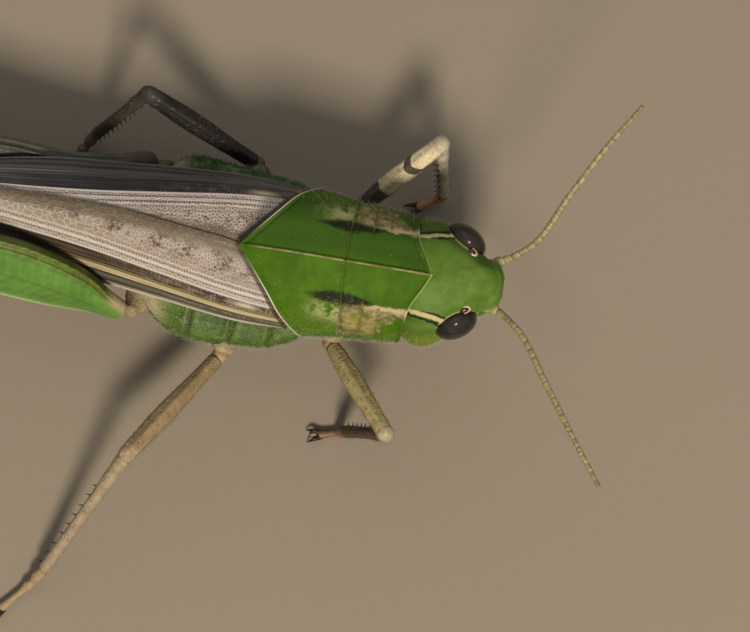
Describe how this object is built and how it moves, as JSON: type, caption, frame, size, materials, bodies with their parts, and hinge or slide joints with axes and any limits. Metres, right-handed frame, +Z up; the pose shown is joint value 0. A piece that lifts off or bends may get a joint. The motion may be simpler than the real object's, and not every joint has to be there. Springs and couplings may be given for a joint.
{
  "type": "locust",
  "caption": "Life-size still model of a green migratory locust standing with folded wings and raised hind knees, feelers spread.",
  "frame": {"origin": "middle of the underside of the bounding box, on the floor plane that the feet stand on", "axes": "+X towards the head, +Y towards the animal's left side, +Z up"},
  "size_m": [0.0632, 0.0305, 0.0134],
  "materials": {
    "head": "satin green shell, matt-fine grain",
    "pronotum": "satin bright green shell with brown and cream marks",
    "thorax": "green, finely pitted, with short pale hairs",
    "forewing": "parchment-like, brown with pale veins",
    "hindwing": "thin clear yellowish fan, folded",
    "abdomen": "satin yellowish green to buff",
    "hind_femur": "satin green with olive and whitish ridges",
    "legs": "glossy tan to olive brown",
    "eye": "glossy dark grey-brown",
    "antenna": "tan olive with pale joint rings",
    "mouthparts": "satin yellowish green to tan"
  },
  "bodies": {
    "root": {"abdomen": "abdomen", "head": "head", "labium": "mouthparts", "labrum": "mouthparts", "left_antenna": "antenna", "left_cercus": "abdomen", "left_eye": "eye", "left_fore_coxa": "legs", "left_fore_femur": "legs", "left_fore_tarsus": "legs", "left_fore_tibia": "legs", "left_forewing": "forewing", "left_hind_coxa": "legs", "left_hind_femur": "hind_femur", "left_hind_tarsus": "legs", "left_hind_tibia": "legs", "left_hindwing": "hindwing", "left_mandible": "mouthparts", "left_maxilla": "mouthparts", "left_mid_coxa": "legs", "left_mid_femur": "legs", "left_mid_tarsus": "legs", "left_mid_tibia": "legs", "ovipositor": "abdomen", "pronotum": "pronotum", "right_antenna": "antenna", "right_cercus": "abdomen", "right_eye": "eye", "right_fore_coxa": "legs", "right_fore_femur": "legs", "right_fore_tarsus": "legs", "right_fore_tibia": "legs", "right_forewing": "forewing", "right_hind_coxa": "legs", "right_hind_femur": "hind_femur", "right_hind_tarsus": "legs", "right_hind_tibia": "legs", "right_hindwing": "hindwing", "right_mandible": "mouthparts", "right_maxilla": "mouthparts", "right_mid_coxa": "legs", "right_mid_femur": "legs", "right_mid_tarsus": "legs", "right_mid_tibia": "legs", "thorax": "thorax"}
  },
  "joints": []
}
